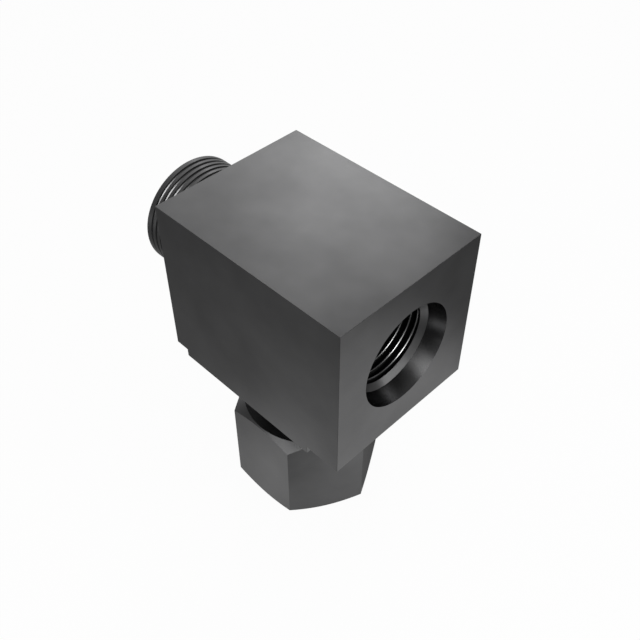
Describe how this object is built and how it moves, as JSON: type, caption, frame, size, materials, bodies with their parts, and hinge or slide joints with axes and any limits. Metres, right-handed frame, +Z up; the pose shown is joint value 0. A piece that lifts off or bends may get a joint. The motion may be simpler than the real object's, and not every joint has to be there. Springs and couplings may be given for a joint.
{
  "type": "tee adapter",
  "caption": "Square-bar hydraulic tee adapter with a threaded stud on one run end, a threaded port on the other and a hexagonal swivel nut on the branch.",
  "frame": {"origin": "centre of the swivel nut's open end face, on the branch axis, which is the face the part stands on", "axes": "+Z up along the branch axis towards the run; +X along the run, out of the threaded port; the stud points along -X"},
  "size_m": [0.0435, 0.0254, 0.052],
  "materials": {
    "body_steel": "dark plated, satin",
    "nut_steel": "dark plated, satin",
    "ring_steel": "tempered spring steel",
    "seal_rubber": "smooth moulded rubber"
  },
  "bodies": {
    "tee": {"tee_body": "body_steel", "face_seal": "seal_rubber"},
    "nut": {"swivel_nut": "nut_steel", "retaining_ring": "ring_steel"}
  },
  "joints": [
    {"name": "nut_swivel", "type": "hinge", "parent": "tee", "child": "nut", "pos_m": [0, 0, 0.01445], "axis": [0, 0, 1], "continuous": true}
  ]
}
